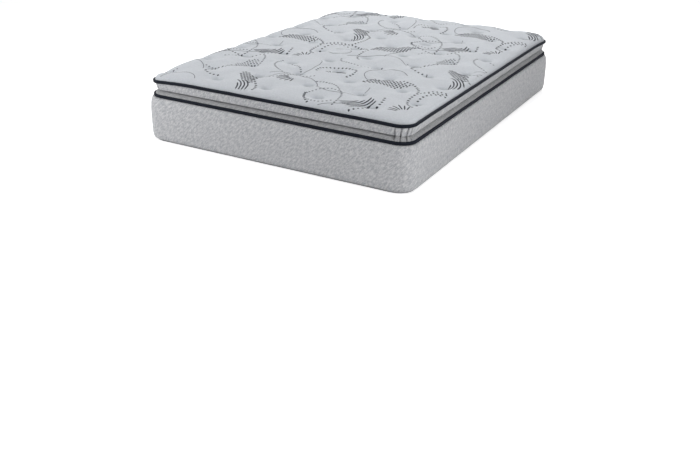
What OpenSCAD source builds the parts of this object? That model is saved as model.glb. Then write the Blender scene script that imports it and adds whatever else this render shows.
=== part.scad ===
// Pillow-top mattress with a foam-encased unit of pocketed coils.
// The frame is at the centre of the underside: X across the bed, Y from foot to head, Z up.

/* [Overall size] */
// Width of the mattress at the fullest point of its border
mattress_w = 1372; // [960:1:1540]
// Length of the mattress at the fullest point of its border
mattress_l = 1905; // [1880:1:2040]
// Radius of the four upright corners, seen from above
corner_r = 90; // [80:1:120]

/* [Main section] */
// Height of the seam that joins the border to the pillow top
deck_z = 216; // [205:1:300]
// How far the border swells out past the tapes above it
tape_set = 17; // [8:1:20]
// Height at which the border is fullest, as a share of the way between its seams
border_full = 0.4; // [0.3:0.05:0.6]
// Thickness of the border's outer cloth
border_cloth = 2; // [1:0.5:3]
// Width of the foam rails round the coil unit
rail_w = 65; // [50:1:90]
// Aim for the distance between neighbouring coils
coil_pitch = 70; // [60:1:90]

/* [Pillow top] */
// Height of the pillow, from the seam below it to the seam round its top
pillow_h = 75; // [70:1:120]
// Depth of the crease between the main section and the pillow, from the seams above and below it
crease_depth = 25; // [15:1:30]
// Height of the crease above the seam below it
crease_up = 17; // [14:1:30]
// Rise of the quilted top above its edge
crown_h = 30; // [10:1:40]
// Depth of the dimple at each tack stitch
dimple_h = 18; // [0:1:20]

/* [Tack stitches] */
// Half the distance between tacks across the bed
tack_x = 132; // [100:1:160]
// Half the distance between tacks along the bed
tack_y = 142; // [100:1:160]

/* [Hidden] */
$fn = 64;

// Tape edges: a woven tape folded over the seam, as a bead with flat sides. The border swells
// past the two upper tapes, and the lowest tape is tucked in under its rounded edge
tape_r = 5;
tape_flat = 5;
tape_in = tape_r + tape_set;
tape_half = tape_r + tape_flat / 2;
bottom_tape_r = 4;
bottom_tape_flat = 2;
bottom_tape_half = bottom_tape_r + bottom_tape_flat / 2;

// Plan insets from the widest outline
cover_in = tape_in + tape_r;
crease_in = cover_in + crease_depth;
bottom_tape_in = cover_in - bottom_tape_r;
coil_in = cover_in + rail_w;

// Base and coil unit, from the floor up
bottom_cover_t = 2;
base_pad_t = 12;
scrim_t = 1;
insulator_t = 8;
comfort_t = 30;
deck_cloth_t = 2;
border_lo = 2 * bottom_tape_half;
border_hi = deck_z - tape_half;
rail_lo = bottom_cover_t + base_pad_t;
comfort_lo = border_hi - comfort_t;
rail_hi = comfort_lo - insulator_t;

// Pocketed coils: strings side by side across the bed, each one running from foot to head
coil_field_w = mattress_w - 2 * coil_in;
coil_field_l = mattress_l - 2 * coil_in;
n_strings = round(coil_field_w / coil_pitch);
string_gap = coil_field_w / n_strings;
n_coils = floor(coil_field_l / string_gap);
coil_gap = coil_field_l / n_coils;
pocket_clear = 0.4;
pocket_r = (string_gap - pocket_clear) / 2;
pocket_lo = rail_lo + scrim_t;
pocket_hi = rail_hi - scrim_t;
pocket_shoulder = 6;
web_t = 1.6;

// Pillow layers, from the deck up
gusset_t = 5;
foam_clear = 1;
ticking_t = 3;
barrier_t = 4;
quilt_backing_t = 1;
pillow_z = deck_z + pillow_h;
pillow_lo = border_hi + deck_cloth_t;
crease_z = deck_z + crease_up;
ticking_edge_z = pillow_z + 2;
pillow_edge_z = ticking_edge_z - ticking_t;
quilt_backing_z = pillow_z - 20;
quilt_foam_z = quilt_backing_z + quilt_backing_t;

// Shape of the quilted top
edge_round = 68;
edge_lines = [0, 14, 36];
dimple_spread = 32;
thread_r = 1.2;
thread_l = 14;

// Tack stitches stand in a diamond lattice: every second place of a grid is empty. The panel is cut
// from a long quilted roll, so that the lattice isn't centred on it
tack_shift = [-20, 30];
tack_reach = [mattress_w / 2 - edge_round, mattress_l / 2 - edge_round];
tack_cols = ceil(tack_reach.x / tack_x);
tack_rows = ceil(tack_reach.y / tack_y);
tacks = [
    for (i = [-tack_cols : tack_cols])
        for (j = [-tack_rows : tack_rows])
            let (t = [(i + 0.5) * tack_x, j * tack_y] + tack_shift)
                if ((i + j) % 2 != 0 && abs(t.x) <= tack_reach.x && abs(t.y) <= tack_reach.y) t
];

function string_name(i) = str("coil_string_", i < 10 ? "0" : "", i);

// ---- Shapes that the layers share ----

// The mattress's outline seen from above, taken in by inset
module outline(inset) {
    x = mattress_w / 2 - corner_r;
    y = mattress_l / 2 - corner_r;
    square([2 * x, mattress_l - 2 * inset], center = true);
    square([mattress_w - 2 * inset, 2 * y], center = true);
    for (sx = [-1, 1])
        for (sy = [-1, 1])
            translate([sx * x, sy * y]) circle(r = corner_r - inset);
}

// A flat layer that follows the outline
module layer(inset, lo, t) {
    translate([0, 0, lo]) linear_extrude(t) outline(inset);
}

// A foam slab with a slanting edge: inset_lo at its bottom face and inset_hi at its top face
module slanted_slab(inset_lo, inset_hi, lo, hi) {
    x = mattress_w / 2 - corner_r;
    y = mattress_l / 2 - corner_r;
    translate([0, y, 0])
        rotate([90, 0, 0]) linear_extrude(2 * y)
            slab_section(mattress_w / 2, inset_lo, inset_hi, lo, hi);
    rotate([0, 0, 90])
        translate([0, x, 0]) rotate([90, 0, 0]) linear_extrude(2 * x)
            slab_section(mattress_l / 2, inset_lo, inset_hi, lo, hi);
    for (sx = [-1, 1])
        for (sy = [-1, 1])
            translate([sx * x, sy * y, lo])
                cylinder(r1 = corner_r - inset_lo, r2 = corner_r - inset_hi, h = hi - lo);
}

module slab_section(half, inset_lo, inset_hi, lo, hi) {
    polygon([[-(half - inset_lo), lo], [half - inset_lo, lo],
             [half - inset_hi, hi], [-(half - inset_hi), hi]]);
}

// Sweeps a section round the outline. In the section x = 0 is the outline, +x is outwards and
// y is the height above the floor
module perimeter() {
    x = mattress_w / 2 - corner_r;
    y = mattress_l / 2 - corner_r;
    for (turn = [0, 180])
        rotate([0, 0, turn]) {
            translate([x + corner_r, y, 0]) rotate([90, 0, 0]) linear_extrude(2 * y) children();
            rotate([0, 0, 90])
                translate([y + corner_r, x, 0])
                    rotate([90, 0, 0]) linear_extrude(2 * x) children();
            translate([x, y, 0]) rotate_extrude(angle = 90) translate([corner_r, 0]) children();
            translate([-x, y, 0])
                rotate([0, 0, 90])
                    rotate_extrude(angle = 90) translate([corner_r, 0]) children();
        }
}

function backwards(list) = [for (k = [len(list) - 1 : -1 : 0]) list[k]];

// ---- Base and coil unit ----

module bottom_cover() {
    color("#3b3d42") layer(cover_in, 0, bottom_cover_t);
}

module base_pad() {
    color("#8d8f92") layer(cover_in, bottom_cover_t, base_pad_t);
}

// A side rail runs the whole length and carries the rounded corners
module side_rail(side) {
    color("#f3efe0") translate([0, 0, rail_lo]) linear_extrude(rail_hi - rail_lo)
        intersection() {
            outline(cover_in);
            translate([side * (coil_field_w + rail_w) / 2, 0])
                square([rail_w, mattress_l], center = true);
        }
}

// An end rail fits between the two side rails
module end_rail(side) {
    color("#f3efe0") translate([0, side * (coil_field_l + rail_w) / 2, (rail_lo + rail_hi) / 2])
        cube([coil_field_w, rail_w, rail_hi - rail_lo], center = true);
}

module scrim(lo) {
    color("#e6e6e3") translate([0, 0, lo + scrim_t / 2])
        cube([coil_field_w, coil_field_l, scrim_t], center = true);
}

// One string: a strip of cloth folded over and welded between the coils, which leaves a row of
// round pockets joined by narrow webs. Each pocket holds one steel coil, pressed to its height
module coil_string(i) {
    x = (i - (n_strings + 1) / 2) * string_gap;
    first = -(n_coils - 1) / 2 * coil_gap;
    color("#eef0f2") translate([x, first, 0]) {
        translate([0, 0, pocket_lo + pocket_shoulder])
            linear_extrude(pocket_hi - pocket_lo - 2 * pocket_shoulder) {
                for (k = [0 : n_coils - 1])
                    translate([0, k * coil_gap]) circle(r = pocket_r);
                translate([-web_t / 2, 0]) square([web_t, (n_coils - 1) * coil_gap]);
            }
        for (k = [0 : n_coils - 1])
            translate([0, k * coil_gap, 0]) {
                translate([0, 0, pocket_lo])
                    cylinder(r1 = pocket_r - pocket_shoulder, r2 = pocket_r, h = pocket_shoulder);
                translate([0, 0, pocket_hi - pocket_shoulder])
                    cylinder(r1 = pocket_r, r2 = pocket_r - pocket_shoulder, h = pocket_shoulder);
            }
    }
}

module insulator_pad() {
    color("#b7b2a6") layer(cover_in, rail_hi, insulator_t);
}

module comfort_foam() {
    color("#f5e9b8") layer(cover_in, comfort_lo, comfort_t);
}

module deck_cloth() {
    color("#dcdcda") layer(cover_in, border_hi, deck_cloth_t);
}

// ---- Border and tape edges ----

// The border's face from seam to seam, set back by skin. From its fullest height it curves in as
// two quarter superellipses: a soft shoulder up to the tape above it, and a squarer foot that
// tucks under to the tape below. The points are closest near the seams
border_steps = 12;
shoulder_power = 3;
foot_power = 5;
function border_x(z, skin) =
    let (full_z = border_lo + border_full * (border_hi - border_lo),
         rises = z > full_z,
         t = (z - full_z) / ((rises ? border_hi : border_lo) - full_z),
         power = rises ? shoulder_power : foot_power,
         seam_in = (rises ? tape_in : bottom_tape_in) - border_cloth)
    -skin - seam_in * (1 - pow(max(0, 1 - pow(t, power)), 1 / power));
function border_line(skin) = [
    for (k = [0 : border_steps])
        let (z = border_lo + (border_hi - border_lo) * (1 - cos(180 * k / border_steps)) / 2)
            [border_x(z, skin), z]
];

module border_cover() {
    color("#babbbf") perimeter()
        polygon(concat(border_line(0), backwards(border_line(border_cloth))));
}

module border_foam() {
    color("#e9e4d2") perimeter()
        polygon(concat(border_line(border_cloth),
                       [[-cover_in, border_hi], [-cover_in, border_lo]]));
}

// A tape's section: two round edges with a flat stretch of that length between them
module tape(inset, z, r, flat) {
    perimeter() translate([-inset, z]) {
        for (s = [-1, 1])
            translate([0, s * flat / 2]) circle(r = r);
        square([2 * r, flat], center = true);
    }
}

module bottom_tape() {
    color("#a3a5aa") tape(bottom_tape_in, bottom_tape_half, bottom_tape_r, bottom_tape_flat);
}

module middle_tape() {
    color("#262d3c") tape(tape_in, deck_z, tape_r, tape_flat);
}

module top_tape() {
    color("#262d3c") tape(tape_in, pillow_z, tape_r, tape_flat);
}

// ---- Pillow top ----

// Lower strip of the crease: a ledge that slopes in and up from the middle tape
module gusset_band() {
    foot = cover_in + 2 * gusset_t;
    color("#94969b") perimeter()
        polygon([[-cover_in, deck_z], [-crease_in, crease_z], [-crease_in - gusset_t, crease_z],
                 [-foot, pillow_lo], [-cover_in, pillow_lo]]);
}

// Upper strip: its face swells out from the crease to the top tape, a quarter of a sine wave
pillow_steps = 4;
function pillow_x(z, skin) =
    -crease_in - skin
    + (crease_in - cover_in) * sin(90 * (z - crease_z) / (pillow_edge_z - crease_z));
function pillow_line(skin) = [
    for (k = [0 : pillow_steps])
        let (z = crease_z + (pillow_edge_z - crease_z) * k / pillow_steps) [pillow_x(z, skin), z]
];

module pillow_border() {
    color("#c3c5c9") perimeter()
        polygon(concat(pillow_line(0), backwards(pillow_line(gusset_t))));
}

crease_foam_in = crease_in + gusset_t + foam_clear;
quilt_in = foam_clear - pillow_x(quilt_backing_z, gusset_t);
barrier_in = cover_in + gusset_t + 2 * foam_clear;

module pillow_base_foam() {
    color("#f5e9b8")
        slanted_slab(cover_in + 2 * gusset_t + foam_clear, crease_foam_in, pillow_lo, crease_z);
}

module pillow_soft_foam() {
    color("#fbf6e6") slanted_slab(crease_foam_in, quilt_in + foam_clear, crease_z, quilt_backing_z);
}

module quilt_backing() {
    color("#e8e8e6") layer(quilt_in, quilt_backing_z, quilt_backing_t);
}

// Lines of the grid that carries the quilted top: through the tacks and half way between them,
// with a few more in the rounded edge
function grid_lines(half, pitch, shift) =
    let (low = floor((half - edge_round + shift) * 2 / pitch),
         high = floor((half - edge_round - shift) * 2 / pitch))
    concat([for (e = edge_lines) e - half],
           [for (k = [-low : high]) k * pitch / 2 + shift],
           [for (e = backwards(edge_lines)) half - e]);
grid_x = grid_lines(mattress_w / 2, tack_x, tack_shift.x);
grid_y = grid_lines(mattress_l / 2, tack_y, tack_shift.y);

// Moves a point of the square-cornered grid on to the round-cornered outline taken in by inset
function bent(x, y, inset) =
    let (cx = mattress_w / 2 - corner_r, cy = mattress_l / 2 - corner_r,
         dx = max(abs(x) - cx, 0), dy = max(abs(y) - cy, 0),
         k = max(dx, dy) / max(norm([dx, dy]), 0.001) * (corner_r - inset) / corner_r)
    [sign(x) * (min(abs(x), cx) + dx * k), sign(y) * (min(abs(y), cy) + dy * k)];

function from_edge(x, y) = min(mattress_w / 2 - abs(x), mattress_l / 2 - abs(y));
function dimple(x, y) =
    -dimple_h * max([for (t = tacks) exp(-norm([x, y] - t) / dimple_spread)]);

// Height of the ticking's face: a quarter ellipse up from its edge, less the dimples
function top_z(x, y) =
    let (d = min(from_edge(x, y) / edge_round, 1))
    ticking_edge_z + crown_h * sqrt(1 - pow(1 - d, 2)) + (d < 1 ? 0 : dimple(x, y));

// A closed quilted layer. Its face lies drop under the ticking's. Its underside runs parallel at
// the distance t, or is flat at the height flat_z where that is given
module quilted(inset, drop, t, flat_z) {
    nx = len(grid_x);
    ny = len(grid_y);
    n = nx * ny;
    face = [for (y = grid_y) for (x = grid_x) concat(bent(x, y, inset), top_z(x, y) - drop)];
    under = [for (p = face) [p.x, p.y, is_undef(flat_z) ? p.z - t : flat_z]];
    rim = concat(
        [for (i = [0 : nx - 2]) i],
        [for (j = [0 : ny - 2]) j * nx + nx - 1],
        [for (i = [nx - 1 : -1 : 1]) (ny - 1) * nx + i],
        [for (j = [ny - 1 : -1 : 1]) j * nx]
    );
    cells = [for (j = [0 : ny - 2]) for (i = [0 : nx - 2]) j * nx + i];
    face_triangles = [for (c = cells) for (f = [[c, c + nx, c + nx + 1], [c, c + nx + 1, c + 1]]) f];
    under_faces = is_undef(flat_z)
        ? [for (f = face_triangles) [f[2] + n, f[1] + n, f[0] + n]]
        : [[for (k = rim) k + n]];
    side_triangles = [
        for (k = [0 : len(rim) - 1])
            let (a = rim[k], b = rim[(k + 1) % len(rim)])
                for (f = [[a, b, b + n], [a, b + n, a + n]]) f
    ];
    polyhedron(points = concat(face, under),
               faces = concat(face_triangles, under_faces, side_triangles));
}

module quilt_foam() {
    color("#fdf3d6") quilted(quilt_in, ticking_t + barrier_t, undef, quilt_foam_z);
}

module fire_barrier() {
    color("#f7f7f5") quilted(barrier_in, ticking_t, barrier_t, undef);
}

module ticking() {
    color("#d9dce1") quilted(cover_in, 0, ticking_t, undef);
}

// A bar of thread lies across each dimple, its two ends on the cloth
module tack_stitches() {
    side = top_z(tacks[0].x + tack_x / 2, tacks[0].y);
    bottom = top_z(tacks[0].x, tacks[0].y);
    end_rise = (side - bottom) * thread_l / tack_x;
    color("#c9ccd2")
        for (t = tacks)
            translate([t.x, t.y, top_z(t.x, t.y) + end_rise + thread_r])
                rotate([0, 90, 0]) cylinder(r = thread_r, h = thread_l, center = true, $fn = 24);
}

// ---- Assembly ----

bottom_cover();
base_pad();
side_rail(-1);  // side_rail_left
side_rail(1);  // side_rail_right
end_rail(1);  // head_rail
end_rail(-1);  // foot_rail
scrim(rail_lo);  // scrim_bottom
scrim(pocket_hi);  // scrim_top
insulator_pad();
comfort_foam();
deck_cloth();
border_foam();
border_cover();
bottom_tape();
middle_tape();
top_tape();
gusset_band();
pillow_border();
pillow_base_foam();
pillow_soft_foam();
quilt_backing();
quilt_foam();
fire_barrier();
ticking();
tack_stitches();
for (i = [1 : n_strings])
    coil_string(i);
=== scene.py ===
import math

import bpy
import numpy as np
from mathutils import Matrix, Vector


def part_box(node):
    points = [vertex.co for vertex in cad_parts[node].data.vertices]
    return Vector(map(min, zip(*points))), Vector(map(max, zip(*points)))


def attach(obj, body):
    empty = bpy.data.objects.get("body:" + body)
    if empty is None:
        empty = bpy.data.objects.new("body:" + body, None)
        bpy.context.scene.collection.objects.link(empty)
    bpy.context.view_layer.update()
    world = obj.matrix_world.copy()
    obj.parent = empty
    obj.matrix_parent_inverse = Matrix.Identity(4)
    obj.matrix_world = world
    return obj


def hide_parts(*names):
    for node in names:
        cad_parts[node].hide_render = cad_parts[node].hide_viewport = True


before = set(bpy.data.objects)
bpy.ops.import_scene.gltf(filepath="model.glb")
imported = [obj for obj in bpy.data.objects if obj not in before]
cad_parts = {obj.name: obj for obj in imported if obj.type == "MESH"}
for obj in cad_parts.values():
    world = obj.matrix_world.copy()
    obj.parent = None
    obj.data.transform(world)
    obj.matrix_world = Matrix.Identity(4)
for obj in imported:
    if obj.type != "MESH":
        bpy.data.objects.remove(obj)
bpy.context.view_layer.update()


# ---- Camera ----------------------------------------------
# A normal lens, a little above the bed and off its right-hand foot corner, so that the foot, the
# long right side and the whole quilted top are in view.
camera_place = (2.000, -3.962, 1.400)
camera_azimuth, camera_elevation, camera_roll = 27.72, 25.32, 1.49

camera = bpy.data.objects.new("camera", bpy.data.cameras.new("camera"))
camera.data.lens = 44.97
camera.matrix_world = (
    Matrix.Translation(camera_place)
    @ Matrix.Rotation(math.radians(camera_azimuth), 4, "Z")
    @ Matrix.Rotation(math.radians(90 - camera_elevation), 4, "X")
    @ Matrix.Rotation(math.radians(camera_roll), 4, "Z")
)
bpy.context.scene.collection.objects.link(camera)
bpy.context.scene.camera = camera
bpy.context.scene.view_settings.view_transform = "Standard"


# ---- Studio: lamps, white surround and floor -------------
# Five wide soft boxes round a pale floor. The surround and the floor show white to the camera,
# and the floor keeps the shadow of the bed.
def add(tree, kind, inputs=None, **settings):
    """Adds a node to a tree, sets its settings, and sets or links its inputs by name or number."""
    made = tree.nodes.new(kind)
    for key, value in settings.items():
        setattr(made, key, value)
    for key, value in (inputs or {}).items():
        if isinstance(value, bpy.types.NodeSocket):
            tree.links.new(value, made.inputs[key])
        else:
            made.inputs[key].default_value = value
    return made


def math_node(tree, operation, first, second=0.0, third=0.0):
    """One step of arithmetic in a node tree; gives back the result's socket."""
    return add(tree, "ShaderNodeMath", {0: first, 1: second, 2: third}, operation=operation).outputs[0]


def new_material(name, roughness):
    """A new node material of this roughness: gives back the material, its tree and its shader."""
    material = bpy.data.materials.new(name)
    material.use_nodes = True
    tree = material.node_tree
    shader = tree.nodes["Principled BSDF"]
    shader.inputs["Roughness"].default_value = roughness
    return material, tree, shader


def new_piece(name, points, faces):
    """A mesh object from points and faces, shaded smooth."""
    mesh = bpy.data.meshes.new(name)
    mesh.from_pydata(points, [], faces)
    mesh.shade_smooth()
    piece = bpy.data.objects.new(name, mesh)
    bpy.context.scene.collection.objects.link(piece)
    return piece


def soft_box(name, place, target, size, power):
    """A square area lamp at place that faces target."""
    lamp = bpy.data.objects.new(name, bpy.data.lights.new(name, "AREA"))
    lamp.data.size = size
    lamp.data.energy = power
    lamp.location = place
    lamp.rotation_mode = "QUATERNION"
    lamp.rotation_quaternion = (Vector(target) - Vector(place)).to_track_quat("-Z", "Y")
    bpy.context.scene.collection.objects.link(lamp)


soft_box("lamp_foot", (-2.1, -2.4, 1.1), (-0.5, -0.9, 0.1), 1.0, 36)
soft_box("lamp_side", (2.9, -2.0, 1.3), (0.6, -0.5, 0.15), 1.2, 39)
soft_box("lamp_right", (3.2, 0.8, 2.4), (0.2, 0.0, 0.3), 1.8, 13)
soft_box("lamp_top", (0.0, 0.0, 3.2), (0.0, 0.0, 0.3), 2.6, 30)
soft_box("lamp_back", (-1.2, 3.2, 2.6), (0.0, 0.3, 0.3), 2.2, 85)

surround_light = 0.15
surround = bpy.data.worlds.new("surround")
surround.use_nodes = True
bpy.context.scene.world = surround
tree = surround.node_tree
rays = add(tree, "ShaderNodeLightPath")
seen = math_node(tree, "MAXIMUM", rays.outputs["Is Camera Ray"],
                 math_node(tree, "MAXIMUM", rays.outputs["Is Glossy Ray"],
                           rays.outputs["Is Transmission Ray"]))
strength = math_node(tree, "ADD", surround_light, math_node(tree, "MULTIPLY", seen, 1 - surround_light))
tree.links.new(strength, tree.nodes["Background"].inputs["Strength"])
tree.nodes["Background"].inputs["Color"].default_value = (1, 1, 1, 1)

floor_reach, floor_glow = 12.0, 0.6
floor = new_piece("floor", [(x * floor_reach, y * floor_reach, 0) for x, y in
                            ((-1, -1), (1, -1), (1, 1), (-1, 1))], [(0, 1, 2, 3)])
floor_paint, tree, shader = new_material("floor_paint", 0.9)
shader.inputs["Base Color"].default_value = (0.86, 0.86, 0.86, 1)
shader.inputs["Emission Color"].default_value = (1, 1, 1, 1)
rays = add(tree, "ShaderNodeLightPath")
tree.links.new(math_node(tree, "MULTIPLY", rays.outputs["Is Camera Ray"], floor_glow),
               shader.inputs["Emission Strength"])
floor.data.materials.append(floor_paint)


# ---- Coil unit, foam rails and pads ----------------------
# The inner layers keep their modelled solids. Strings of spunbond pockets stand between foam rails
# on a felt pad, under more felt and foam. Scrims, a deck cloth and a backing lie between them.
def new_group(name, inputs, outputs):
    """An empty shader node group with these sockets: gives back its tree, inputs and outputs."""
    group = bpy.data.node_groups.new(name, "ShaderNodeTree")
    for label, kind, value in inputs:
        socket = group.interface.new_socket(label, in_out="INPUT", socket_type="NodeSocket" + kind)
        if value is not None:
            socket.default_value = value
    for label, kind in outputs:
        group.interface.new_socket(label, in_out="OUTPUT", socket_type="NodeSocket" + kind)
    return group, group.nodes.new("NodeGroupInput").outputs, group.nodes.new("NodeGroupOutput").inputs


def scaled(tree, vector, size):
    """A vector divided by a length, so that one unit is one repeat of a pattern."""
    return add(tree, "ShaderNodeVectorMath", {0: vector, 3: math_node(tree, "DIVIDE", 1.0, size)},
               operation="SCALE").outputs[0]


# Open cells: round pits of mixed size, and a slow drift of tone
cells, given, made = new_group(
    "open_cells", [("Vector", "Vector", None), ("Cell", "Float", 0.001)],
    [("Height", "Float"), ("Tone", "Float")])
pits = add(cells, "ShaderNodeTexVoronoi", {"Vector": scaled(cells, given["Vector"], given["Cell"])})
drift = add(cells, "ShaderNodeTexNoise", {"Vector": given["Vector"], "Scale": 14.0, "Detail": 3.0})
cells.links.new(pits.outputs["Distance"], made["Height"])
cells.links.new(drift.outputs["Fac"], made["Tone"])

# Spunbond: point bonds in staggered rows, with a web of fine fibres between them
spunbond, given, made = new_group(
    "spunbond", [("Vector", "Vector", None), ("Bond", "Float", 0.002)],
    [("Height", "Float"), ("Tone", "Float")])
rows = scaled(spunbond, given["Vector"], given["Bond"])
turned = add(spunbond, "ShaderNodeVectorRotate", {"Vector": rows, "Angle": math.radians(45)},
             rotation_type="Z_AXIS")
split = add(spunbond, "ShaderNodeSeparateXYZ", {0: turned.outputs[0]})
bond = math_node(spunbond, "MULTIPLY",
                 math_node(spunbond, "SINE", math_node(spunbond, "MULTIPLY", split.outputs[0], math.pi)),
                 math_node(spunbond, "SINE", math_node(spunbond, "MULTIPLY", split.outputs[1], math.pi)))
fibres = add(spunbond, "ShaderNodeTexNoise", {"Vector": rows, "Scale": 2.2, "Detail": 4.0,
                                              "Distortion": 1.5})
spunbond.links.new(math_node(spunbond, "SUBTRACT", fibres.outputs["Fac"],
                             math_node(spunbond, "MULTIPLY", math_node(spunbond, "ABSOLUTE", bond), 0.6)),
                   made["Height"])
spunbond.links.new(fibres.outputs["Fac"], made["Tone"])

# Felt: matted fibres, as stretched noise in two directions
felt, given, made = new_group(
    "felt", [("Vector", "Vector", None), ("Fibre", "Float", 0.004)],
    [("Height", "Float"), ("Tone", "Float")])
mat = scaled(felt, given["Vector"], given["Fibre"])
crossing = [
    add(felt, "ShaderNodeTexNoise", {
        "Vector": add(felt, "ShaderNodeMapping", {"Vector": mat, "Scale": stretch}).outputs[0],
        "Scale": 1.0, "Detail": 5.0, "Distortion": 2.0}).outputs["Fac"]
    for stretch in ((0.4, 2.6, 1.0), (2.6, 0.4, 1.0))]
felt.links.new(math_node(felt, "MAXIMUM", *crossing), made["Height"])
felt.links.new(math_node(felt, "MINIMUM", *crossing), made["Tone"])


def add_bump(tree, height, distance, strength):
    """Lets a height stand out of a material's surface, by this distance in metres."""
    bump = add(tree, "ShaderNodeBump", {"Height": height, "Distance": distance, "Strength": strength})
    tree.links.new(bump.outputs["Normal"], tree.nodes["Principled BSDF"].inputs["Normal"])


def plain_layer(name, group, size, dark, light, depth, roughness=0.95):
    """A matt material for an inner layer: a group's height as bump, its tone between two colours."""
    material, tree, shader = new_material(name, roughness)
    place = add(tree, "ShaderNodeTexCoord").outputs["Object"]
    effect = add(tree, "ShaderNodeGroup", {"Vector": place, 1: size}, node_tree=group)
    colour = add(tree, "ShaderNodeMix", {0: effect.outputs["Tone"], 6: (*dark, 1), 7: (*light, 1)},
                 data_type="RGBA")
    tree.links.new(colour.outputs[2], shader.inputs["Base Color"])
    add_bump(tree, effect.outputs["Height"], depth, 0.6)
    return material


def repaint(name, material):
    """Gives a layer's solid this material in place of its plain one."""
    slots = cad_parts[name].data.materials
    slots.clear()
    slots.append(material)


coil_strings = [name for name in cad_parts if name.startswith("coil_string_")]
inner_layers = {
    plain_layer("firm_foam", cells, 0.0011, (0.84, 0.82, 0.74), (0.94, 0.92, 0.85), 0.0006):
        ["side_rail_left", "side_rail_right", "head_rail", "foot_rail", "border_foam"],
    plain_layer("comfort_foam", cells, 0.0014, (0.84, 0.76, 0.52), (0.95, 0.89, 0.68), 0.0007):
        ["comfort_foam", "pillow_base_foam"],
    plain_layer("soft_foam", cells, 0.0017, (0.88, 0.84, 0.74), (0.97, 0.94, 0.87), 0.0008):
        ["pillow_soft_foam"],
    plain_layer("pocket_cloth", spunbond, 0.0022, (0.82, 0.83, 0.84), (0.94, 0.95, 0.96), 0.0003):
        coil_strings,
    plain_layer("scrim_cloth", spunbond, 0.0026, (0.78, 0.78, 0.77), (0.91, 0.91, 0.90), 0.0003):
        ["scrim_bottom", "scrim_top", "deck_cloth", "quilt_backing"],
    plain_layer("insulator_felt", felt, 0.005, (0.44, 0.42, 0.38), (0.68, 0.66, 0.61), 0.0008):
        ["insulator_pad"],
    plain_layer("base_felt", felt, 0.006, (0.30, 0.31, 0.32), (0.50, 0.51, 0.52), 0.0008):
        ["base_pad"],
}
for material, names in inner_layers.items():
    for name in names:
        repaint(name, material)


# ---- Underside cloth -------------------------------------
# A dark spunbond cloth with a coarse bond pattern, sewn flat across the bottom. It lies on the
# floor, so its modelled slab keeps its shape.
repaint("bottom_cover", plain_layer("underside_cloth", spunbond, 0.006, (0.03, 0.032, 0.037),
                                    (0.075, 0.078, 0.086), 0.0005))


# ---- Border cloth ----------------------------------------
# The tall side of the mattress: grey melange cloth over thin foam. It is stretched between the
# tapes, which are set in behind it: it has a soft shoulder under the upper one and a squarer foot
# that tucks in to the lower one.
border_low, border_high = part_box("border_cover")
half_width, half_length = border_high.x, border_high.y
corner_radius = 0.090
# The share of its height at which the border is fullest, and how thick its cloth is
border_full, cloth_thickness = 0.4, 0.002
# Half the thickness of the folded tapes, at the two upper seams and at the foot
tape_half_thickness, bottom_tape_half_thickness = 0.005, 0.004
# How far in from the outline the border's upper and lower edges are sewn
shoulder_in = half_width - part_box("middle_tape")[1].x + tape_half_thickness - cloth_thickness
foot_in = half_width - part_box("bottom_tape")[1].x + bottom_tape_half_thickness - cloth_thickness


def lap(step, corner_step):
    """One lap round the mattress, anticlockwise from the middle of the foot: the corner centre or
    its rail that each point swings about, the outward direction there, and the distance along the
    outline. Centre and angle both run evenly between the ends of the straights and corners."""
    x, y, arc = half_width - corner_radius, half_length - corner_radius, corner_radius * math.pi / 2
    stops = np.cumsum([0, x, arc, 2 * y, arc, 2 * x, arc, 2 * y, arc, x])
    pieces = [np.linspace(a, b, max(2, round((b - a) / s)), endpoint=False)
              for a, b, s in zip(stops[:-1], stops[1:], [step, corner_step] * 4 + [step])]
    along = np.concatenate(pieces)
    centre = np.stack([np.interp(along, stops, [0, x, x, x, x, -x, -x, -x, -x, 0]),
                       np.interp(along, stops, [-y, -y, -y, y, y, y, y, -y, -y, -y])], 1)
    angle = np.interp(along, stops, np.radians([-90, -90, 0, 0, 90, 90, 180, 180, 270, 270]))
    return centre, np.stack([np.cos(angle), np.sin(angle)], 1), along, stops[-1]


def noise(x, y, seed, wrap=64):
    """Smooth noise from -1 to 1: random values on a lattice of unit squares, blended between its
    points with an S-shaped ease. x repeats after wrap squares."""
    table = np.random.default_rng(seed).uniform(-1, 1, (wrap, 64))
    i, j = np.floor(x).astype(int), np.floor(y).astype(int)
    u, v = x - i, y - j
    u, v = u * u * (3 - 2 * u), v * v * (3 - 2 * v)
    near = table[i % wrap, j % 64] * (1 - u) + table[(i + 1) % wrap, j % 64] * u
    far = table[i % wrap, (j + 1) % 64] * (1 - u) + table[(i + 1) % wrap, (j + 1) % 64] * u
    return near * (1 - v) + far * v


def grid_piece(name, points, loop_columns=False, loop_rows=False, across=None, up=None):
    """A smooth mesh piece over a grid of points [row, column], closed across the columns or the
    rows where asked. Its UV map holds the cloth's own lengths, across and up, in metres."""
    rows, columns = points.shape[:2]
    row, column = np.meshgrid(np.arange(rows if loop_rows else rows - 1),
                              np.arange(columns if loop_columns else columns - 1), indexing="ij")
    row = np.stack([row, row, row + 1, row + 1], -1).reshape(-1)
    column = np.stack([column, column + 1, column + 1, column], -1).reshape(-1)
    faces = (row % rows * columns + column % columns).reshape(-1, 4)
    piece = new_piece(name, points.reshape(-1, 3), faces)
    if across is not None:
        layer = piece.data.uv_layers.new(name="cloth")
        layer.data.foreach_set("uv", np.stack([across[column], up[row]], 1).reshape(-1).astype(np.float32))
    return piece


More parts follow.
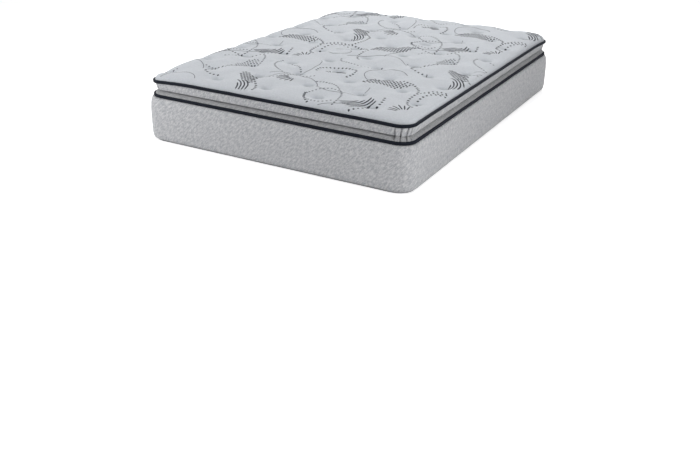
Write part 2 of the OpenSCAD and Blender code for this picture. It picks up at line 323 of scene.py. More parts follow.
def sweep(name, lap_points, inset, height, loop_rows=False):
    """Carries a section round the mattress: inset and height are grids [section point, lap point]
    of the distance in from the outline and the height above the floor."""
    centre, outward, along, length = lap_points
    inset, height = np.broadcast_arrays(inset, height)
    reach = (corner_radius - inset)[..., None]
    points = np.concatenate([centre + outward * reach, height[..., None]], -1)
    steps = np.linalg.norm(np.diff(points[:, 0], axis=0), axis=1)
    up = np.concatenate([[0], np.cumsum(steps), [2 * steps.sum()]])
    return grid_piece(name, points, True, loop_rows, np.append(along, length), up)


def finish_piece(piece, material, slot, *nodes):
    """Gives a piece its material, lets it ride on the mattress and stand for its CAD nodes."""
    piece.data.materials.append(material)
    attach(piece, "root")
    if nodes:
        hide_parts(*nodes)


# The section is two quarter superellipses that meet at the fullest height
border_lap = lap(0.010, 0.005)
border_rows = 40
# How far the foam's slow swells and the fine wrinkles at the seams stand out
swell_depth, wrinkle_depth = 0.0014, 0.0006
rise = ((1 - np.cos(np.linspace(0, math.pi, border_rows))) / 2)[:, None]
border_z = border_low.z + (border_high.z - border_low.z) * rise
t = np.where(rise > border_full, (rise - border_full) / (1 - border_full), 1 - rise / border_full)
power = np.where(rise > border_full, 3, 5)
seam_in = np.where(rise > border_full, shoulder_in, foot_in)
along = border_lap[2] / border_lap[3]
slack = 1 - t ** 4
swells = swell_depth * (0.3 + noise(along * 22 + 0 * t, border_z / 0.16, 3, 22)) * slack
wrinkles = (wrinkle_depth * noise(along * 300 + 0 * t, border_z / 0.10, 4, 300)
            * np.clip(t * 2 - 1, 0, 1) * (t < 1))
border_inset = seam_in * (1 - (1 - t ** power) ** (1 / power)) - swells + wrinkles
border = sweep("border_cloth", border_lap, border_inset, border_z)


# Plain weave: threads of one width pass over and under each other
weave, given, made = new_group(
    "plain_weave", [("Vector", "Vector", None), ("Thread", "Float", 0.001)], [("Height", "Float")])
split = add(weave, "ShaderNodeSeparateXYZ", {0: scaled(weave, given["Vector"], given["Thread"])})
warp = math_node(weave, "SINE", math_node(weave, "MULTIPLY", split.outputs[0], math.pi))
weft = math_node(weave, "SINE", math_node(weave, "MULTIPLY", split.outputs[1], math.pi))
weave.links.new(math_node(weave, "MULTIPLY_ADD", math_node(weave, "MULTIPLY", warp, weft), 0.5, 0.5),
                made["Height"])

# Melange: short strands of light and dark fibre at two sizes, which lean opposite ways
melange, given, made = new_group(
    "melange", [("Vector", "Vector", None), ("Strand", "Float", 0.01), ("Dark", "Color", (0, 0, 0, 1)),
                ("Light", "Color", (1, 1, 1, 1))], [("Color", "Color"), ("Tone", "Float")])
strand = scaled(melange, given["Vector"], given["Strand"])
layers = [
    add(melange, "ShaderNodeTexNoise", {
        "Vector": add(melange, "ShaderNodeMapping", {
            "Vector": strand, "Rotation": (0, 0, math.radians(turn)), "Scale": length},
            vector_type="TEXTURE").outputs[0],
        "Scale": 1.0, "Detail": 3.0, "Roughness": 0.6}).outputs["Fac"]
    for turn, length in ((-46, (0.52, 1.55, 1.0)), (34, (0.26, 0.60, 1.0)))]
tone = math_node(melange, "MULTIPLY_ADD", layers[0], 0.55, math_node(melange, "MULTIPLY", layers[1], 0.45))
spread = add(melange, "ShaderNodeMapRange", {"Value": tone, "From Min": 0.400, "From Max": 0.600})
mixed = add(melange, "ShaderNodeMix", {0: spread.outputs[0], 6: given["Dark"], 7: given["Light"]},
            data_type="RGBA")
melange.links.new(mixed.outputs[2], made["Color"])
melange.links.new(spread.outputs[0], made["Tone"])


def border_material(name, dark, light):
    """Melange cloth: mixed strands for colour, and a plain weave with slubs for relief."""
    material, tree, shader = new_material(name, 0.85)
    shader.inputs["Sheen Weight"].default_value = 0.12
    shader.inputs["Sheen Roughness"].default_value = 0.5
    cloth = add(tree, "ShaderNodeUVMap", uv_map="cloth").outputs["UV"]
    colour = add(tree, "ShaderNodeGroup", {"Vector": cloth, "Strand": 0.014, "Dark": (*dark, 1),
                                           "Light": (*light, 1)}, node_tree=melange)
    relief = add(tree, "ShaderNodeGroup", {"Vector": cloth, "Thread": 0.0011}, node_tree=weave)
    tree.links.new(colour.outputs["Color"], shader.inputs["Base Color"])
    height = math_node(tree, "MULTIPLY_ADD", colour.outputs["Tone"], 0.8, relief.outputs["Height"])
    add_bump(tree, height, 0.0004, 0.7)
    return material


border_paint = border_material("border_melange", (0.362, 0.375, 0.404), (0.65, 0.649, 0.658))
finish_piece(border, border_paint, "border_fabric", "border_cover")


# ---- Tape edges ------------------------------------------
# Woven tape folded over each seam and sewn through. Navy tape runs round the two upper seams, and a
# grey one is tucked in under the border's lower edge.
tape_lap = lap(0.008, 0.004)
# Where the pillow's edge sinks, near each corner, how deep, and how far along from there
sag_places = np.array([[0.66, -0.93], [0.66, 0.92], [-0.66, 0.93], [-0.675, -0.87]])
sag_depths, sag_reach = np.array([0.002, 0.010, 0.006, 0.013]), 0.13


def pillow_sag(x, y):
    """How far the pillow's edge sinks below its level along the sides: a bell near each corner,
    where the foam has the least to stand on."""
    far = np.hypot(x[..., None] - sag_places[:, 0], y[..., None] - sag_places[:, 1])
    return np.sum(sag_depths * np.exp(-(far / sag_reach) ** 2), -1)


def on_outline(lap_points, inset):
    """Plan positions x and y along a lap, at an inset from the outline."""
    return (lap_points[0] + lap_points[1] * (corner_radius - inset)).T


def tape_edge(name, node, half_thickness, puff, sag=0.0):
    """A folded tape as a bead swept round the seam, lower by sag than its modelled solid. The
    section is a superellipse, with a shallow groove where the stitches pull it in."""
    low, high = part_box(node)
    turn = np.linspace(-math.pi / 2, 1.5 * math.pi, 20, endpoint=False)[:, None]
    along = tape_lap[2] / tape_lap[3]
    wave = noise(along * 90 + 0 * turn, 0 * turn, 11, 90)
    x = np.sign(np.cos(turn)) * np.abs(np.cos(turn)) ** 0.75 * half_thickness
    z = np.sign(np.sin(turn)) * np.abs(np.sin(turn)) ** 0.75 * (high.z - low.z) / 2
    groove = 0.0009 * np.exp(-((np.sin(turn) + 0.35) / 0.2) ** 2) * (np.cos(turn) > 0)
    centre_in = half_width - high.x + half_thickness
    height = np.maximum((low.z + high.z) / 2 + z + 0.0004 * wave - sag, 0)
    return sweep(name, tape_lap, centre_in - x * (1 + puff * wave) + groove, height, loop_rows=True)


def tape_material(name, colour, rib):
    """Woven tape: fine ribs across its length, and a slow change of tone where it has been bent."""
    material, tree, shader = new_material(name, 0.7)
    shader.inputs["Specular IOR Level"].default_value = 0.12
    cloth = add(tree, "ShaderNodeUVMap", uv_map="cloth").outputs["UV"]
    relief = add(tree, "ShaderNodeGroup", {"Vector": cloth, "Thread": rib}, node_tree=weave)
    bend = add(tree, "ShaderNodeTexNoise", {"Vector": cloth, "Scale": 60.0, "Detail": 3.0})
    tone = math_node(tree, "MULTIPLY_ADD", bend.outputs["Fac"], 0.7, 0.65)
    shade = add(tree, "ShaderNodeVectorMath", {0: colour, 3: tone}, operation="SCALE")
    tree.links.new(shade.outputs[0], shader.inputs["Base Color"])
    add_bump(tree, relief.outputs["Height"], 0.0004, 0.8)
    return material


navy_tape = tape_material("navy_tape", (0.0085, 0.011, 0.0185), 0.0009)
grey_tape = tape_material("grey_tape", (0.42, 0.425, 0.44), 0.0009)
upper_edge = tape_edge("upper_tape_edge", "top_tape", tape_half_thickness, 0.06,
                       pillow_sag(*on_outline(tape_lap, 0.022)))
middle_edge = tape_edge("middle_tape_edge", "middle_tape", tape_half_thickness, 0.06)
lower_edge = tape_edge("underside_tape_edge", "bottom_tape", bottom_tape_half_thickness, 0.03)
finish_piece(upper_edge, navy_tape, "navy_tape", "top_tape")
finish_piece(middle_edge, navy_tape, "navy_tape", "middle_tape")
finish_piece(lower_edge, grey_tape, "grey_tape", "bottom_tape")


# ---- Crease: ledge and pillow side -----------------------
# Two strips of the border's cloth sewn together at the bottom of the crease. The lower one is the
# ledge that slopes in from the middle tape, the upper one swells out to the tape round the top.
# Both are gathered at the corners, where the strips are too long for the tight inner seam.
crease_lap = lap(0.005, 0.0011)
crease_along = crease_lap[2] / crease_lap[3]
side_low, side_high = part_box("pillow_border")
seam_inset = half_width - side_high.x
# How far in and how high the seam of the crease runs, and how deep the slot is that it lies in
crease_depth, crease_z, slot = 0.030, side_low.z + 0.0095, 0.008
# The tucks of a corner: metres along it from its middle, metres that each leans by on its way up,
# and how deep it is at the crease and at the tape
tuck_places, tuck_lean = (-0.074, -0.038, 0.002, 0.036), (0.003, 0.010, 0.013, 0.003)
tuck_low, tuck_high = (1.0, 1.0, 0.9, 0.7), (0.1, 0.15, 1.0, 0.2)
# How wide a tuck is, and how far in it draws the pillow's side and the ledge
tuck_width, side_tuck_depth, ledge_tuck_depth = 0.0032, 0.0230, 0.0160
# How much cloth is gathered at each corner, from the right foot corner anticlockwise
gathered = np.array([1.0, 0.85, 0.8, 0.45])
# Where along a corner that cloth fills the crease, how much of its depth, and how high it lifts it
bunch_from, bunch_to, bunch_fill, bunch_lift = -0.074, 0.055, 0.72, 0.0065


def corner_places(along):
    """Distance along the outline from the middle of the nearest corner, and that corner's number."""
    x, y, arc = half_width - corner_radius, half_length - corner_radius, corner_radius * math.pi / 2
    middles = np.cumsum([x + arc / 2, arc + 2 * y, arc + 2 * x, arc + 2 * y])
    offset = along[None, :] - middles[:, None]
    nearest = np.abs(offset).argmin(0)
    return np.take_along_axis(offset, nearest[None, :], 0)[0], nearest


def tucks(along, up):
    """How deep each place along the outline is in a tuck, from 0 to 1, at height up from the crease
    (0) to the tape (1). A tuck is a narrow groove that leans a little."""
    offset, number = corner_places(along)
    depth = np.zeros(np.broadcast_shapes(up.shape, along[None, :].shape))
    for place, lean, low, high in zip(tuck_places, tuck_lean, tuck_low, tuck_high):
        middle = place + 0.003 * np.sin(5.3 * number) + lean * up
        amount = (low + (high - low) * up) * gathered[number]
        depth = np.maximum(depth, amount * np.exp(-(np.abs(offset - middle) / tuck_width) ** 1.5))
    return depth


def bunching(along):
    """1 where the gathered cloth fills the crease at a corner, 0 along the straights. It starts
    sharply at the first tuck and dies away past the last one."""
    offset, number = corner_places(along)
    filled = np.clip((offset - bunch_from) / 0.004, 0, 1) * np.clip((bunch_to - offset) / 0.045, 0, 1)
    return filled * gathered[number] ** 2


bunched = bunching(crease_lap[2])[None, :]
depth_here = crease_depth * (1 - bunch_fill * bunched)
t = (np.linspace(0, 1, 20) ** 1.6)[:, None]
tuck = tucks(crease_lap[2], t)
pucker = noise(crease_along * 330 + 0 * t, t * 1.5, 21, 330)
slow = noise(crease_along * 40 + 0 * t, t, 22, 40)
swell = (1 - (1 - t) ** 2.5) ** (1 / 2.5)
side_inset = (seam_inset + depth_here * (1 - swell) + side_tuck_depth * tuck
              - 0.0006 * pucker * (1 - 0.5 * t) - 0.0010 * slow * np.sin(t * math.pi))
top_z = side_high.z - 0.002 - pillow_sag(*on_outline(crease_lap, seam_inset))
crease_here = crease_z + bunch_lift * bunched
side_z = (crease_here + 0.0005 + (top_z - crease_here) * t
          - 0.0080 * np.sin(math.pi * np.minimum(1, t / 0.35)) - slot * np.exp(-t / 0.03))
# The pillow's foam, whose side leans in towards its foot, stops the tucks a little short of it
foam_low, foam_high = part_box("pillow_soft_foam")
foam_narrowing, foam_gap = 0.0207, 0.0015
foam_lean = foam_narrowing / (foam_high.z - foam_low.z)
foam_inset = half_width - foam_high.x + foam_lean * np.maximum(foam_high.z - side_z, 0)
side_inset = np.minimum(side_inset, foam_inset - foam_gap)
side = sweep("pillow_side", crease_lap, side_inset, side_z)
t = (np.linspace(0, 1, 16) ** 1.5)[:, None]
tuck = tucks(crease_lap[2], 0 * t)
pucker = noise(crease_along * 330 + 0 * t, t * 1.5, 23, 330)
ledge_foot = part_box("middle_tape")[1].z - 0.005
ledge_inset = (seam_inset - cloth_thickness + (depth_here + cloth_thickness) * t
               + ledge_tuck_depth * tuck * (0.4 + 0.6 * t))
ledge_z = (ledge_foot + (crease_here - slot - ledge_foot) * t ** 0.4
           + (0.0025 - 0.0060 * tuck + 0.0005 * pucker) * np.sin(t * math.pi))
ledge = sweep("crease_ledge", crease_lap, ledge_inset, ledge_z)
# The ledge is the border's cloth with darker colours: painted shade of the crease under the pillow's
# overhanging side.
ledge_shade_paint = border_material("crease_melange_painted_shade", (0.28, 0.287, 0.303), (0.49, 0.49, 0.495))
finish_piece(side, border_paint, "border_fabric", "pillow_border")
finish_piece(ledge, ledge_shade_paint, "border_fabric", "gusset_band")


# ---- Quilted top -----------------------------------------
# Knit ticking over wadding and foam. It rolls up from the tape, crowns over the middle and is pulled
# down by tack stitches in a diamond lattice. It is a little larger than the flat panel, and settles
# into puffs and creases between the stitches.
ticking_half = np.array(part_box("ticking")[1][:2])
top_corner = corner_radius - (half_width - ticking_half[0])
# The height at which the ticking leaves the tape, how wide its rolled edge is, and its crown
edge_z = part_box("top_tape")[1].z - 0.0055
edge_round, crown_height = 0.065, 0.0265
# The lattice of tacks, of which every second place holds one: its gaps, and its shift off centre
tack_gap, tack_shift = np.array([0.132, 0.142]), np.array([-0.020, 0.030])
# A tack's bowl, how deep and wide, the length of its bar of thread, and the depth of its pit
tack_depth, tack_reach, tack_bar, tack_pinch = 0.019, 0.032, 0.014, 0.022
# How far from a corner's two sides the panel counts as its corner
corner_reach = 0.20

tack_columns = np.arange(-5, 5)[:, None]
tack_rows = np.arange(-6, 7)[None, :]
standing = (tack_columns + tack_rows) % 2 != 0
tacks = np.stack([((tack_columns + 0.5) * tack_gap[0] + 0 * tack_rows)[standing],
                  (tack_rows * tack_gap[1] + 0 * tack_columns)[standing]], 1) + tack_shift


def panel_lines(half, step, dense_at=()):
    """Plan positions of grid lines from -half to half, one step of cloth apart: they close up on the
    rolled edge, as they would on a quarter ellipse, and near each of the places dense_at."""
    place = np.linspace(-half, half, 6001)
    past = np.clip(1 - (half - np.abs(place)) / edge_round, 0, 0.998)
    density = np.hypot(1, crown_height / edge_round * past / np.sqrt(1 - past ** 2))
    for spot in dense_at:
        density += 1.6 * np.exp(-((place - spot) / 0.012) ** 2)
    length = np.append(0, np.cumsum((density[1:] + density[:-1]) / 2)) * (place[1] - place[0])
    return np.interp(np.linspace(0, length[-1], round(length[-1] / step) + 1), length, place)


def inward(x, y):
    """Distance in from the nearer side of the panel."""
    return np.minimum(ticking_half[0] - np.abs(x), ticking_half[1] - np.abs(y))


def from_tack(x, y):
    """Distance from the nearest tack, a bar of stitches that runs across the bed."""
    past = np.maximum(np.abs(x[..., None] - tacks[:, 0]) - tack_bar / 2, 0)
    return np.min(np.hypot(past, y[..., None] - tacks[:, 1]), -1)


def near_corner(x, y):
    """1 at a corner of the panel, 0 over most of it."""
    near_x, near_y = (np.clip(1 - (half - np.abs(v)) / corner_reach, 0, 1)
                      for half, v in zip(ticking_half, (x, y)))
    return (near_x * near_y) ** 1.4


def bend_corners(x, y):
    """Moves points of the square-cornered panel on to the round-cornered one: in each corner a
    point keeps its direction from the corner's centre, and squares become circles."""
    over = np.maximum(np.abs(np.stack([x, y], -1)) - (ticking_half - top_corner), 0)
    far = np.linalg.norm(over, axis=-1)
    pull = np.where(far > 0, over.max(-1) / np.maximum(far, 1e-9), 1)[..., None]
    flat = np.minimum(np.abs(np.stack([x, y], -1)), ticking_half - top_corner) + over * pull
    return flat * np.sign(np.stack([x, y], -1))


def quilt_height(x, y):
    """Height of the ticking over the flat panel before it settles: a quarter superellipse up from
    the edge to the crown, slow lumps of the filling, and a bowl at each tack. The crown stands
    higher at the head on the right, and lower along the left side."""
    rise = np.clip(inward(x, y) / edge_round, 0, 1)
    edge = edge_z - pillow_sag(*np.moveaxis(bend_corners(x, y), -1, 0)) * (1 - 0.75 * rise)
    soft = np.clip(inward(x, y) / 0.12, 0, 1)
    lumps = (0.0022 * noise(x / 0.17 + 20, y / 0.17 + 20, 31)
             + 0.0008 * noise(x / 0.06 + 20, y / 0.06 + 20, 32))
    bowl = np.exp(-(from_tack(x, y) / tack_reach) ** 1.5)
    roll = (1 - (1 - rise) ** 3) ** (1 / 3)
    crown = (crown_height + 0.006 * np.clip(y / ticking_half[1], 0, 1) * np.clip((x + 0.3) / 0.5, 0, 1)
             - 0.003 * np.clip(-x / 0.4 - 0.5, 0, 1) * np.clip((y + 0.7) / 0.2, 0, 1)
             * np.clip((0.98 - y) / 0.2, 0, 1))
    return (edge + crown * (1 - 0.05 * near_corner(x, y)) * roll + soft * lumps
            - tack_depth * bowl * np.clip(inward(x, y) / 0.04, 0, 1) ** 0.3)


def pinch(x, y):
    """How far the stitches pull the cloth down right at each tack, past its bowl: a pit with steep
    walls, and a point at its bottom where the thread goes through."""
    far = from_tack(x, y)
    return tack_pinch * (0.72 * np.exp(-(far / 0.014) ** 3.5) + 0.28 * np.exp(-far / 0.006))


def settle(points, grip, slack, frames=14):
    """Where a grid of cloth comes to rest when its filling presses up from below. grip, 0 to 1, is
    how firmly the filling and the stitches hold each point; slack is the share of spare cloth."""
    piece = grid_piece("settling_cloth", points)
    held = piece.vertex_groups.new(name="held")
    spare = piece.vertex_groups.new(name="spare")
    for group, weights in ((held, grip), (spare, 1 - slack / slack.max())):
        steps = np.round(weights.reshape(-1) * 20) / 20
        for value in np.unique(steps):
            group.add(np.nonzero(steps == value)[0].tolist(), float(value), "REPLACE")
    cloth = piece.modifiers.new("cloth", "CLOTH").settings
    cloth.quality, cloth.mass, cloth.air_damping = 6, 0.3, 2
    cloth.tension_stiffness = cloth.compression_stiffness = 15
    cloth.shear_stiffness, cloth.bending_stiffness, cloth.bending_damping = 8, 10, 0.5
    cloth.vertex_group_mass, cloth.pin_stiffness = "held", 1
    cloth.vertex_group_shrink, cloth.shrink_min, cloth.shrink_max = "spare", -slack.max(), 0
    cloth.use_pressure, cloth.uniform_pressure_force = True, 3
    cloth.effector_weights.gravity = 0
    scene = bpy.context.scene
    for number in range(1, frames + 1):
        scene.frame_set(number)
    rested = piece.evaluated_get(bpy.context.evaluated_depsgraph_get())
    places = np.empty(points.size, np.float32)
    rested.data.vertices.foreach_get("co", places)
    scene.frame_set(1)
    mesh = piece.data
    bpy.data.objects.remove(piece)
    bpy.data.meshes.remove(mesh)
    return places.reshape(points.shape).astype(float)


def finer(values, old, new, axis):
    """Resamples a grid along one axis, from places old to places new, with a Catmull-Rom cubic
    through the four nearest values."""
    values = np.moveaxis(values, axis, 0)
    place = np.interp(new, old, np.arange(len(old)))
    first = np.minimum(place.astype(int), len(old) - 2)
    f = (place - first).reshape((-1,) + (1,) * (values.ndim - 1))
    a, b, c, d = (values[np.clip(first + k, 0, len(old) - 1)] for k in (-1, 0, 1, 2))
    blend = b + 0.5 * f * (c - a + f * (2 * a - 5 * b + 4 * c - d + f * (3 * (b - c) + d - a)))
    return np.moveaxis(blend, 0, axis)


coarse_step, fine_step = 0.009, 0.0070
coarse_x, coarse_y = (panel_lines(half, coarse_step) for half in ticking_half)
flat_x, flat_y = np.meshgrid(coarse_x, coarse_y)
surface = np.concatenate([bend_corners(flat_x, flat_y), quilt_height(flat_x, flat_y)[..., None]], -1)
edge_grip = np.clip(1 - inward(flat_x, flat_y) / 0.030, 0, 1) ** 1.5
grip = np.clip(0.05 + 0.95 * edge_grip + 0.2 * near_corner(flat_x, flat_y)
               + (from_tack(flat_x, flat_y) < 0.0065), 0, 1)
slack = ((0.0055 + 0.0035 * noise(flat_x / 0.21 + 20, flat_y / 0.21 + 20, 33))
         * np.clip(inward(flat_x, flat_y) / 0.10, 0.05, 1))
surface = settle(surface, grip, slack)
panel_x = panel_lines(ticking_half[0], fine_step, np.unique(tacks[:, 0]))
panel_y = panel_lines(ticking_half[1], fine_step, np.unique(tacks[:, 1]))
surface = finer(finer(surface, coarse_y, panel_y, 0), coarse_x, panel_x, 1)
surface[..., 2] -= pinch(*np.meshgrid(panel_x, panel_y))
# The backing cloth stops the stitches from pulling the deepest pits any further down
backing_z, least_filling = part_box("quilt_foam")[0].z, 0.0035
surface[..., 2] = np.maximum(surface[..., 2], backing_z + least_filling)
ticking = grid_piece("quilted_ticking", surface, across=panel_x, up=panel_y)


def on_ticking(x, y, lift):
    """Points over the ticking: its surface between the nearest four grid points, raised by lift."""
    i = np.clip(np.interp(x, panel_x, np.arange(len(panel_x))), 0, len(panel_x) - 1.001)
    j = np.clip(np.interp(y, panel_y, np.arange(len(panel_y))), 0, len(panel_y) - 1.001)
    column, row = i.astype(int), j.astype(int)
    u, v = (i - column)[..., None], (j - row)[..., None]
    points = ((surface[row, column] * (1 - u) + surface[row, column + 1] * u) * (1 - v)
              + (surface[row + 1, column] * (1 - u) + surface[row + 1, column + 1] * u) * v)
    points[..., 2] += lift
    return points


# Knit: rows of small slanted stitches, as a wave across the columns that bends in every row
knit, given, made = new_group(
    "knit", [("Vector", "Vector", None), ("Stitch", "Float", 0.0016)], [("Height", "Float")])
split = add(knit, "ShaderNodeSeparateXYZ", {0: scaled(knit, given["Vector"], given["Stitch"])})
slant = math_node(knit, "PINGPONG", split.outputs[1], 0.5)
column = math_node(knit, "ADD", split.outputs[0], slant)
knit.links.new(math_node(knit, "ABSOLUTE", math_node(
    knit, "SINE", math_node(knit, "MULTIPLY", column, math.pi))), made["Height"])

ticking_paint, tree, shader = new_material("ticking_knit", 0.9)
shader.inputs["Sheen Weight"].default_value = 0.1
shader.inputs["Sheen Roughness"].default_value = 0.5
place = add(tree, "ShaderNodeTexCoord").outputs["Object"]
stitches = add(tree, "ShaderNodeGroup", {"Vector": place}, node_tree=knit)
mottle = add(tree, "ShaderNodeTexNoise", {"Vector": place, "Scale": 120.0, "Detail": 4.0,
                                          "Roughness": 0.65})
tone = add(tree, "ShaderNodeMapRange", {"Value": mottle.outputs["Fac"], "From Min": 0.3, "From Max": 0.7})
cloth_colour = add(tree, "ShaderNodeMix", {0: tone.outputs[0], 6: (0.562, 0.588, 0.622, 1),
                                           7: (0.644, 0.670, 0.711, 1)}, data_type="RGBA")
tree.links.new(cloth_colour.outputs[2], shader.inputs["Base Color"])
add_bump(tree, stitches.outputs["Height"], 0.0005, 0.5)
finish_piece(ticking, ticking_paint, "ticking_knit", "ticking")


# ---- Wadding and quilt foam ------------------------------
# The filling that the ticking is sewn to: one soft pad with the ticking's own shape, a little under
# it, and a flat underside on the backing cloth.
# How far the pad stays under the ticking and in from its edge, and how thin it may be in a pit
pad_gap, pad_inset, pad_least = 0.004, 0.012, 0.001
# Its own pits are deeper and wider than the ticking's, so that it clears them
pad_pit_depth, pad_pit_reach = 1.2 * tack_pinch, 0.03
pad_lines = (71, 99)
pad_x, pad_y = (np.linspace(-1, 1, lines) * (half - pad_inset)
                for lines, half in zip(pad_lines, ticking_half))
pad_flat = np.meshgrid(pad_x, pad_y)
pad_pits = pad_pit_depth * np.exp(-(from_tack(*pad_flat) / pad_pit_reach) ** 2)
pad_top = on_ticking(*pad_flat, -pad_gap - pad_pits)
pad_top[..., 2] = np.maximum(pad_top[..., 2], backing_z + pad_least)
rows, width = pad_flat[0].shape
under = pad_top * (1, 1, 0) + (0, 0, backing_z)
number = np.arange(rows * width).reshape(rows, width)
squares = np.stack([number[:-1, :-1], number[:-1, 1:], number[1:, 1:], number[1:, :-1]], -1).reshape(-1, 4)
rim = np.concatenate([number[0, :-1], number[:-1, -1], number[-1, :0:-1], number[:0:-1, 0]])
after = np.roll(rim, -1)
walls = np.stack([rim + rows * width, after + rows * width, after, rim], 1)
pad = new_piece("quilt_pad", np.concatenate([pad_top.reshape(-1, 3), under.reshape(-1, 3)]),
                np.concatenate([squares, squares[:, ::-1] + rows * width, walls]))
pad_paint = plain_layer("wadding", felt, 0.007, (0.86, 0.86, 0.84), (0.97, 0.97, 0.96), 0.001)
finish_piece(pad, pad_paint, "fire_fibre", "quilt_foam", "fire_barrier")


# ---- Woven motif of the ticking --------------------------
# Charcoal and grey yarns brought to the face of the knit as low relief: dotted arcs, thin lines,
# leaf shapes filled with short strokes, and fans of longer ones. The design repeats in a half-drop,
# as cloth off a loom does, and ends a little short of the tape.
repeat_w, repeat_l = 0.80, 1.10
motif_half = ticking_half - 0.004


def arc(x, y, radius, start, turn, gap, growth=1.0):
    """Points every gap along an arc about (x, y), from the start angle through turn, both in
    degrees. The radius changes evenly to growth times its first value."""
    count = max(3, round(abs(math.radians(turn)) * radius * (1 + growth) / 2 / gap))
    angle = np.radians(start + turn * np.linspace(0, 1, count))
    reach = radius * np.linspace(1, growth, count)
    return np.stack([x + reach * np.cos(angle), y + reach * np.sin(angle)], 1)


def leaf(x, y, length, width, turn, gap):
    """Points of a staggered lattice that lie inside a pointed leaf: a leaf's half width falls off
    as one minus the square of the distance from its middle."""
    along, side = np.meshgrid(np.arange(-length / 2, length / 2 + gap, gap),
                              np.arange(-width / 2, width / 2 + gap, gap * 0.8))
    along = along + gap / 2 * (np.round(side / (gap * 0.8)).astype(int) % 2)
    inside = np.abs(side) < width / 2 * (1 - (2 * along / length) ** 2)
    c, s = math.cos(math.radians(turn)), math.sin(math.radians(turn))
    return np.stack([x + along[inside] * c - side[inside] * s, y + along[inside] * s + side[inside] * c], 1)


def strokes(points, length):
    """A short straight stroke centred on each point, along the line that joins its neighbours."""
    ahead = np.gradient(points, axis=0)
    ahead /= np.linalg.norm(ahead, axis=1)[:, None]
    return np.stack([points - ahead * length / 2, points + ahead * length / 2], 1)


def spray(x, y, inner, outer, start, turn, count):
    """Strokes that fan out from (x, y) between two radii, longest in the middle of the fan."""
    angle = np.radians(start + turn * np.linspace(0, 1, count))
    reach = inner + (outer - inner) * (0.55 + 0.45 * np.sin(np.linspace(0.15, 1, count) * math.pi * 0.9))
    ray = np.stack([np.cos(angle), np.sin(angle)], 1)
    return np.array([x, y]) + np.stack([ray * inner, ray * reach[:, None]], 1)


# The lengths of a dot and of a dash
dot, dash = 0.0100, 0.0120
dark_marks = [
    strokes(arc(0.20, 0.24, 0.150, 48, 187, 0.0190), dot),
    strokes(arc(0.20, 0.24, 0.112, 75, 120, 0.0190), dot),
    strokes(arc(0.60, 0.66, 0.175, 195, 180, 0.0190), dot),
    strokes(arc(0.38, 0.98, 0.095, -30, 225, 0.0190), dot),
    strokes(arc(0.72, 0.17, 0.080, 80, 210, 0.0190), dot),
    strokes(leaf(0.42, 0.42, 0.270, 0.105, 38, 0.0165), dot),
    strokes(leaf(0.09, 0.68, 0.210, 0.085, -52, 0.0165), dot),
    strokes(leaf(0.66, 0.93, 0.240, 0.095, 12, 0.0165), dot),
    strokes(arc(0.50, 0.27, 0.190, 138, 88, 0.0190), dot),
    strokes(arc(0.03, 0.50, 0.185, -75, 140, 0.0190), dot),
    strokes(arc(0.70, 0.84, 0.150, 5, 150, 0.0190), dot),
]
dark_sprays = [
    spray(0.38, 0.93, 0.025, 0.090, 40, 100, 7),
    spray(0.12, 0.03, 0.035, 0.105, 100, 75, 6),
    spray(0.27, 0.80, 0.030, 0.100, 205, 75, 6),
]
dark_lines = [arc(0.60, 0.66, 0.090 + 0.0140 * k, 280 + 6 * k, 85 - 12 * abs(k - 2), 0.012)
              for k in range(5)]
dark_lines += [arc(0.03, 0.50, 0.090 + 0.0150 * k, -30 + 8 * k, 80 - 13 * abs(k - 2), 0.012)
               for k in range(5)]
grey_marks = [
    strokes(arc(0.36, 0.55, 0.250, -35, 120, 0.0190), dash),
    strokes(arc(0.12, 0.86, 0.120, 80, -175, 0.0165), dot),
    strokes(leaf(0.74, 0.34, 0.170, 0.075, 80, 0.0160), dot * 0.9),
    strokes(arc(0.40, 0.16, 0.130, 200, 130, 0.0165), dot),
    strokes(arc(0.62, 0.38, 0.165, -100, 150, 0.0165), dot),
    strokes(arc(0.24, 1.02, 0.190, 175, 125, 0.0165), dot),
    strokes(arc(0.52, 0.62, 0.085, 60, 260, 0.0165), dot),
]
grey_lines = [
    arc(0.28, 0.68, 0.150, 175, -165, 0.009),
    arc(0.52, 0.80, 0.120, 200, 175, 0.009),
    arc(0.70, 0.30, 0.260, 95, 95, 0.009),
    arc(0.21, 0.23, 0.045, 150, -290, 0.009, 1.5),
    arc(0.44, 0.08, 0.190, 150, -125, 0.009),
    arc(0.05, 1.00, 0.210, -70, 110, 0.009),
    arc(0.62, 1.04, 0.090, 30, 250, 0.009, 1.3),
]


def repeats(shape):
    """Copies a motif, points [..., xy], over the whole panel: every second column of repeats drops
    by half a repeat."""
    shifts = [((i - 0.4) * repeat_w, (j + 0.5 * (i % 2) - 0.3) * repeat_l)
              for i in range(-1, 2) for j in range(-2, 2)]
    return np.concatenate([(shape + np.array(s))[None] for s in shifts])


def yarn_mesh(rings, tips):
    """Closed yarns: rings [yarn, ring, side, xyz] joined by quads, with a point at each end."""
    yarns, count, sides = rings.shape[:3]
    each = count * sides + 2
    points = np.concatenate([rings.reshape(yarns, -1, 3), tips], 1).reshape(-1, 3)
    ring, side = np.meshgrid(np.arange(count - 1), np.arange(sides), indexing="ij")
    after = (side + 1) % sides
    quads = np.stack([ring * sides + side, ring * sides + after,
                      (ring + 1) * sides + after, (ring + 1) * sides + side], -1).reshape(-1, 4)
    side = np.arange(sides)
    after = (side + 1) % sides
    last = (count - 1) * sides
    ends = np.concatenate([np.stack([after, side, 0 * side + count * sides], 1),
                           np.stack([last + side, last + after, 0 * side + count * sides + 1], 1)])
    start = (np.arange(yarns) * each)[:, None, None]
    return points, (quads + start).reshape(-1, 4), (ends + start).reshape(-1, 3)


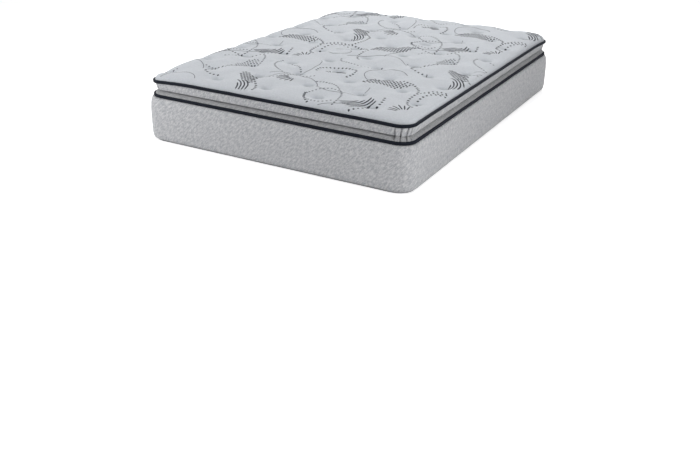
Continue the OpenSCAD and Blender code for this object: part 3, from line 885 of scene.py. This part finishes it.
def yarns_on_ticking(lines, yarn_half, height, sides=6):
    """Yarns that lie on the ticking along flat lines [yarn, point, xy]: an oval section, half sunk
    in the cloth, that narrows to a point at both ends."""
    count = lines.shape[1]
    ahead = np.gradient(lines, axis=1)
    ahead /= np.maximum(np.linalg.norm(ahead, axis=2), 1e-9)[..., None]
    aside = np.stack([-ahead[..., 1], ahead[..., 0]], -1)
    fullness = np.sqrt(np.clip(1 - np.linspace(-1, 1, count) ** 2, 0, 1))[None, 1:-1, None]
    fullness = np.minimum(1, fullness * max(1.35, count / 6))
    turn = np.linspace(0, 2 * math.pi, sides, endpoint=False)[None, None, :]
    offset = yarn_half * fullness * np.cos(turn)
    lift = height * fullness * np.sin(turn)
    ring_flat = lines[:, 1:-1, None, :] + aside[:, 1:-1, None, :] * offset[..., None]
    rings = on_ticking(ring_flat[..., 0], ring_flat[..., 1], lift + 0.15 * height)
    ends = lines[:, [0, -1]]
    return yarn_mesh(rings, on_ticking(ends[..., 0], ends[..., 1], 0.0))


def yarn_piece(name, bundles):
    """One piece from bundles of yarns, each its points, four-sided faces and three-sided faces."""
    points, faces, first = [], [], 0
    for made_points, quads, triangles in bundles:
        faces += (quads + first).tolist() + (triangles + first).tolist()
        points.append(made_points)
        first += len(made_points)
    return new_piece(name, np.concatenate(points), faces)


def motif_piece(name, bundles, colour):
    """A yarn piece in one dull colour, darker and lighter by a fifth along its matted fibres."""
    piece = yarn_piece(name, bundles)
    material = plain_layer(name + "_yarn", felt, 0.0012, [0.8 * c for c in colour],
                           [1.2 * c for c in colour], 0.0002, 0.85)
    finish_piece(piece, material, "ticking_knit")
    return piece


def fill_in(ends, count):
    """Straight yarns with count points from pairs of end points."""
    t = np.linspace(0, 1, count)[None, :, None]
    return ends[:, :1] * (1 - t) + ends[:, 1:] * t


def stroke_yarns(marks, count, yarn_half, height):
    """Yarns of count points from every copy of these strokes that lies wholly on the panel."""
    ends = np.concatenate([repeats(one).reshape(-1, 2, 2) for one in marks])
    kept = ends[(np.abs(ends) < motif_half).all((1, 2))]
    return yarns_on_ticking(fill_in(kept, count), yarn_half, height)


def whole_lines(curve):
    """A long curve copied over the panel. Each stretch of a copy that lies on the panel is one yarn,
    with as many points as the curve. A stretch of only a few points is left out."""
    number = np.arange(len(curve))
    kept = []
    for copy in repeats(curve):
        inside = (np.abs(copy) < motif_half).all(1)
        stretch = np.cumsum(~inside)
        for one in np.unique(stretch[inside]):
            places = np.nonzero(inside & (stretch == one))[0]
            if len(places) > 5:
                spread = np.linspace(places[0], places[-1], len(curve))
                kept.append(np.stack([np.interp(spread, number, axis) for axis in copy.T], 1))
    return np.array(kept)


dark_bundles = [stroke_yarns(dark_marks, 5, 0.0058, 0.0008),
                stroke_yarns(dark_sprays, 9, 0.0030, 0.0008)]
dark_bundles += [yarns_on_ticking(whole_lines(curve), 0.0034, 0.0008) for curve in dark_lines]
grey_bundles = [stroke_yarns(grey_marks, 5, 0.0048, 0.0007)]
grey_bundles += [yarns_on_ticking(whole_lines(curve), 0.0017, 0.0006) for curve in grey_lines]
dark_motif = motif_piece("charcoal_motif", dark_bundles, (0.022, 0.025, 0.034))
grey_motif = motif_piece("grey_motif", grey_bundles, (0.15, 0.16, 0.18))


# ---- Tack stitches ---------------------------------------
# A bar of pale thread across each dimple, sewn through the whole quilted panel. It is a little
# longer than the pit that it pulls in.
thread_half, thread_height, bar_half = 0.0011, 0.0012, 0.008
bar = np.stack([tacks - [bar_half, 0], tacks + [bar_half, 0]], 1)
tack_threads = yarn_piece("tack_threads", [yarns_on_ticking(fill_in(bar, 7), thread_half, thread_height)])
thread_paint = plain_layer("tack_thread", felt, 0.001, (0.5, 0.52, 0.55), (0.68, 0.7, 0.74), 0.0002, 0.7)
finish_piece(tack_threads, thread_paint, "tack_thread", "tack_stitches")
